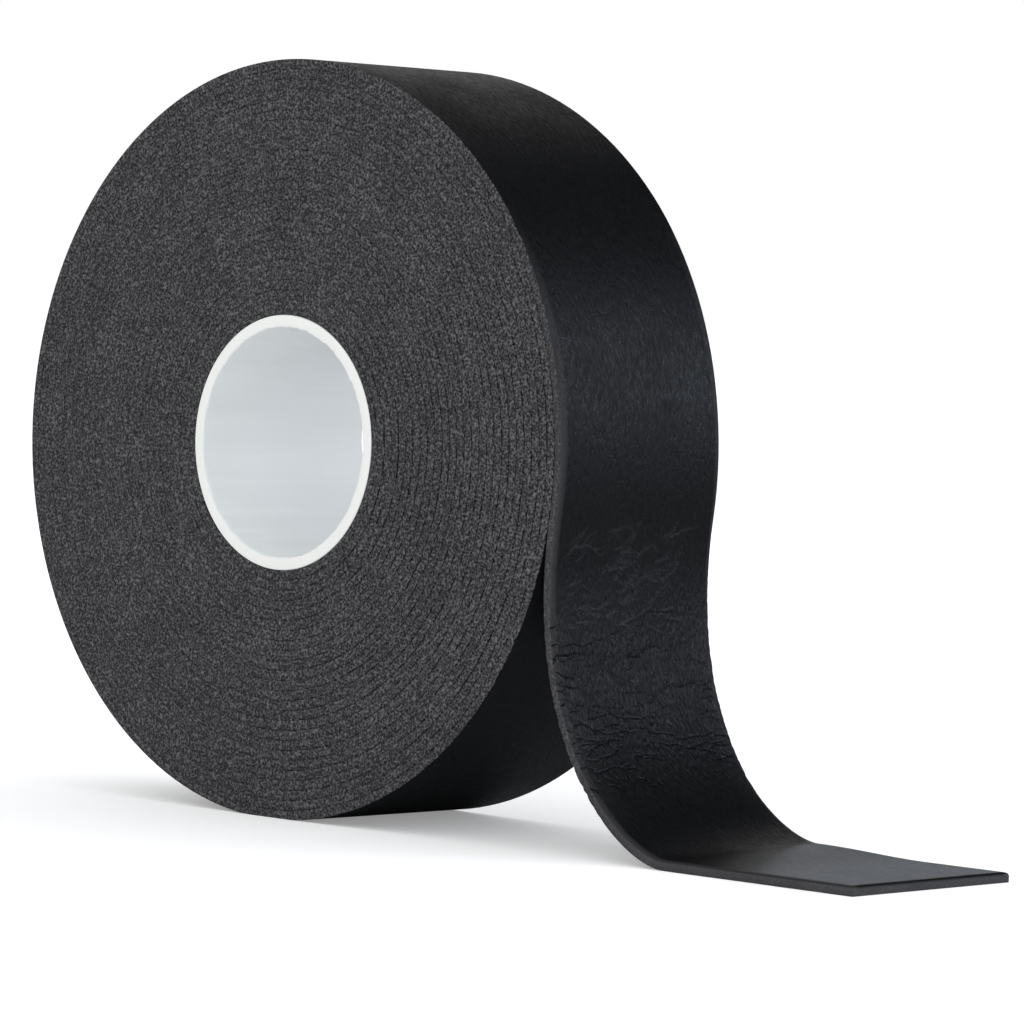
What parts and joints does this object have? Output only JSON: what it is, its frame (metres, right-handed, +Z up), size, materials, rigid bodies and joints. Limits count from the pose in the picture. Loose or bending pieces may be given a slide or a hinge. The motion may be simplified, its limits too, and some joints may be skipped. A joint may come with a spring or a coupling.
{
  "type": "roll of foam tape",
  "caption": "Roll of black foam tape wound on a thin white core, standing on its rim, with its free end dropping to the floor and lying flat in front.",
  "frame": {"origin": "on the floor under the roll's axis, midway across the tape's width, on the rim's small flat spot", "axes": "+X from the roll towards its free end, +Y along the roll's axis, +Z up"},
  "size_m": [0.1259, 0.025, 0.0837],
  "materials": {
    "foam": "matte black closed-cell foam, fine smooth skin on the tread and a granular cut face on both sides",
    "core_plastic": "plain white extruded plastic tube, saw-cut ends"
  },
  "bodies": {
    "root": {"foam_tape": "foam", "core": "core_plastic"}
  },
  "joints": []
}
